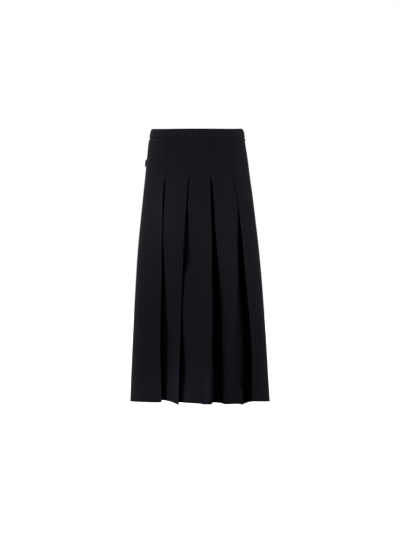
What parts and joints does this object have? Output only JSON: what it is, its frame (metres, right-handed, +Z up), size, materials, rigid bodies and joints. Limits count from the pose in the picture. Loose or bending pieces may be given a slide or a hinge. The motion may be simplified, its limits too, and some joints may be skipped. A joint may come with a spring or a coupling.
{
  "type": "pleated midi skirt",
  "caption": "Dark wool midi skirt in its worn, hollow shape: narrow waistband, pleats stitched down over the hips and open to the hem, small strap and buckle on one hip.",
  "frame": {"origin": "centre of the waist ring at half the height of the waistband, where the wearer's waist holds the skirt", "axes": "+Z up along the body, +X to the viewer's right when facing the front, +Y from the front to the back"},
  "size_m": [0.3885, 0.279, 0.7596],
  "materials": {
    "wool": "fine black wool twill with a faint blue cast, matt with a soft nap",
    "band_wool": "the same wool folded double over a stiffener, pressed flat",
    "strap_wool": "the same wool folded and edge stitched",
    "buckle_metal": "darkened nickel, satin"
  },
  "bodies": {
    "root": {"waistband": "band_wool", "skirt_front": "wool", "skirt_back": "wool", "hip_strap": "strap_wool", "buckle_loop": "strap_wool", "buckle_frame": "buckle_metal", "buckle_prong": "buckle_metal"}
  },
  "joints": []
}
